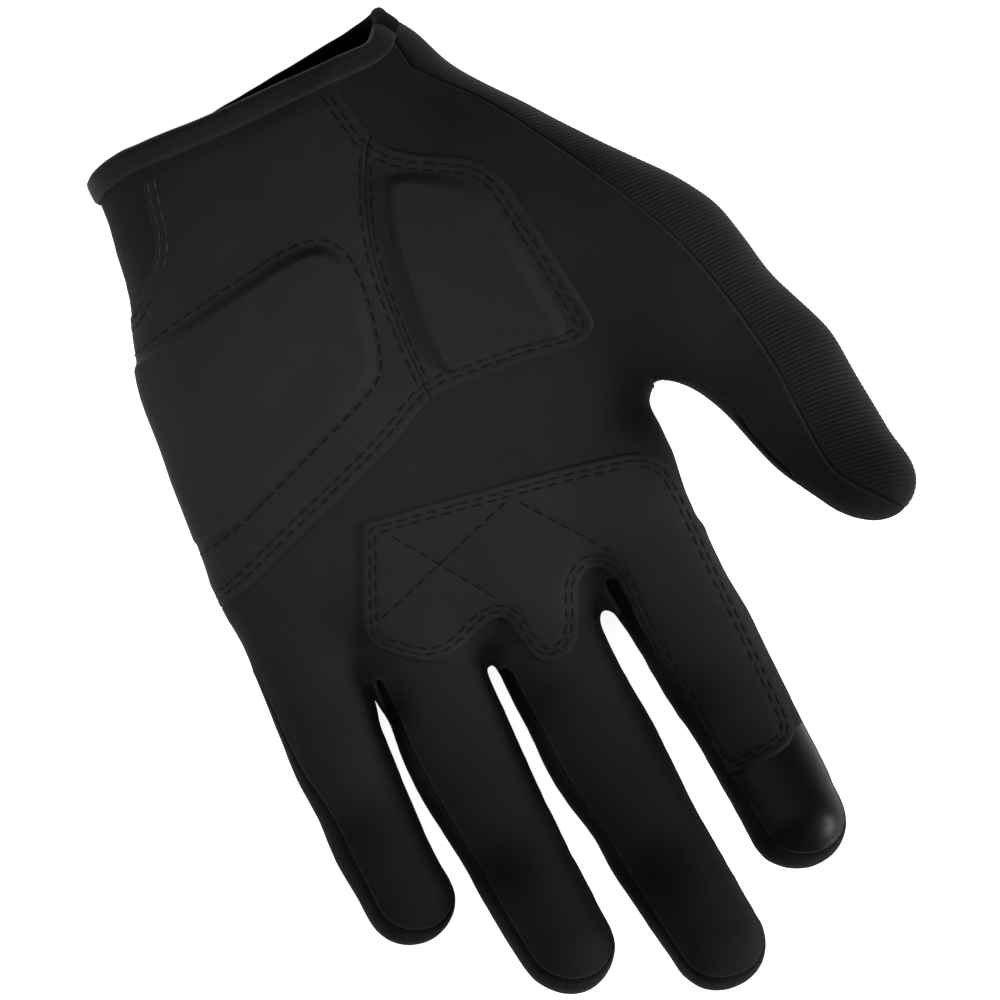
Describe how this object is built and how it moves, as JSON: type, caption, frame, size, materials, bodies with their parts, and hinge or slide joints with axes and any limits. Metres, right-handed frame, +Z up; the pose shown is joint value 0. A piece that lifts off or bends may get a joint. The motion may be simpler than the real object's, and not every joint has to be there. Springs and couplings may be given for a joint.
{
  "type": "motocross glove",
  "caption": "Left-hand riding glove with foam palm pads, a stitched saddle layer, ribbed thumb back and a bound slip-on cuff.",
  "frame": {"origin": "on the table under the middle of the glove's whole box, with the glove on its back", "axes": "+Z up out of the palm, +Y from the cuff toward the fingertips, thumb at -X"},
  "size_m": [0.1458, 0.2122, 0.0426],
  "materials": {
    "palm_suede": "matte fine-grain synthetic suede",
    "pad_leather": "matte fine-grain synthetic suede",
    "overlay_leather": "matte smooth synthetic leather",
    "touch_leather": "smooth semi-gloss",
    "ribbed_knit": "finely ribbed stretch knit",
    "stretch_knit": "plain stretch knit",
    "binding_tape": "smooth folded tape",
    "foam": "closed-cell foam"
  },
  "bodies": {
    "hand": {"palm_panel": "palm_suede", "heel_pad_cover": "pad_leather", "heel_pad_foam": "foam", "thenar_pad_cover": "pad_leather", "thenar_pad_foam": "foam", "wrist_side_panel": "palm_suede", "saddle_reinforcement": "overlay_leather", "back_panel": "stretch_knit", "cuff_elastic": "stretch_knit", "thumb_back_panel": "ribbed_knit", "cuff_binding": "binding_tape", "index_side_strip": "stretch_knit", "index_middle_fourchette": "stretch_knit", "middle_ring_fourchette": "stretch_knit", "ring_little_fourchette": "stretch_knit", "little_side_strip": "stretch_knit", "index_flex_band": "palm_suede", "middle_flex_band": "palm_suede", "ring_flex_band": "palm_suede", "little_flex_band": "palm_suede", "thumb_flex_band": "palm_suede"},
    "index_end": {"index_end_front": "overlay_leather", "index_touch_tip": "touch_leather", "index_end_side": "stretch_knit", "index_end_back": "stretch_knit"},
    "middle_end": {"middle_end_front": "palm_suede", "middle_end_side": "stretch_knit", "middle_end_back": "stretch_knit"},
    "ring_end": {"ring_end_front": "palm_suede", "ring_end_side": "stretch_knit", "ring_end_back": "stretch_knit"},
    "little_end": {"little_end_front": "palm_suede", "little_end_side": "stretch_knit", "little_end_back": "stretch_knit"},
    "thumb_end": {"thumb_end_front": "palm_suede", "thumb_end_back": "ribbed_knit"}
  },
  "joints": [
    {"name": "index_bend", "type": "hinge", "parent": "hand", "child": "index_end", "pos_m": [-0.01492, 0.05085, 0.01528], "axis": [1, 0, 0], "range_deg": [0, 75], "stiffness_Nm_per_rad": 0.05, "deforming": ["index_flex_band"]},
    {"name": "middle_bend", "type": "hinge", "parent": "hand", "child": "middle_end", "pos_m": [0.01363, 0.05385, 0.01579], "axis": [1, 0, 0], "range_deg": [0, 75], "stiffness_Nm_per_rad": 0.05, "deforming": ["middle_flex_band"]},
    {"name": "ring_bend", "type": "hinge", "parent": "hand", "child": "ring_end", "pos_m": [0.03974, 0.04585, 0.01481], "axis": [1, 0, 0], "range_deg": [0, 75], "stiffness_Nm_per_rad": 0.05, "deforming": ["ring_flex_band"]},
    {"name": "little_bend", "type": "hinge", "parent": "hand", "child": "little_end", "pos_m": [0.06301, 0.03385, 0.0137], "axis": [1, 0, 0], "range_deg": [0, 75], "stiffness_Nm_per_rad": 0.05, "deforming": ["little_flex_band"]},
    {"name": "thumb_bend", "type": "hinge", "parent": "hand", "child": "thumb_end", "pos_m": [-0.05714, 0.00368, 0.02808], "axis": [0.5074, 0.2696, -0.8184], "range_deg": [0, 60], "stiffness_Nm_per_rad": 0.05, "deforming": ["thumb_flex_band"]}
  ]
}
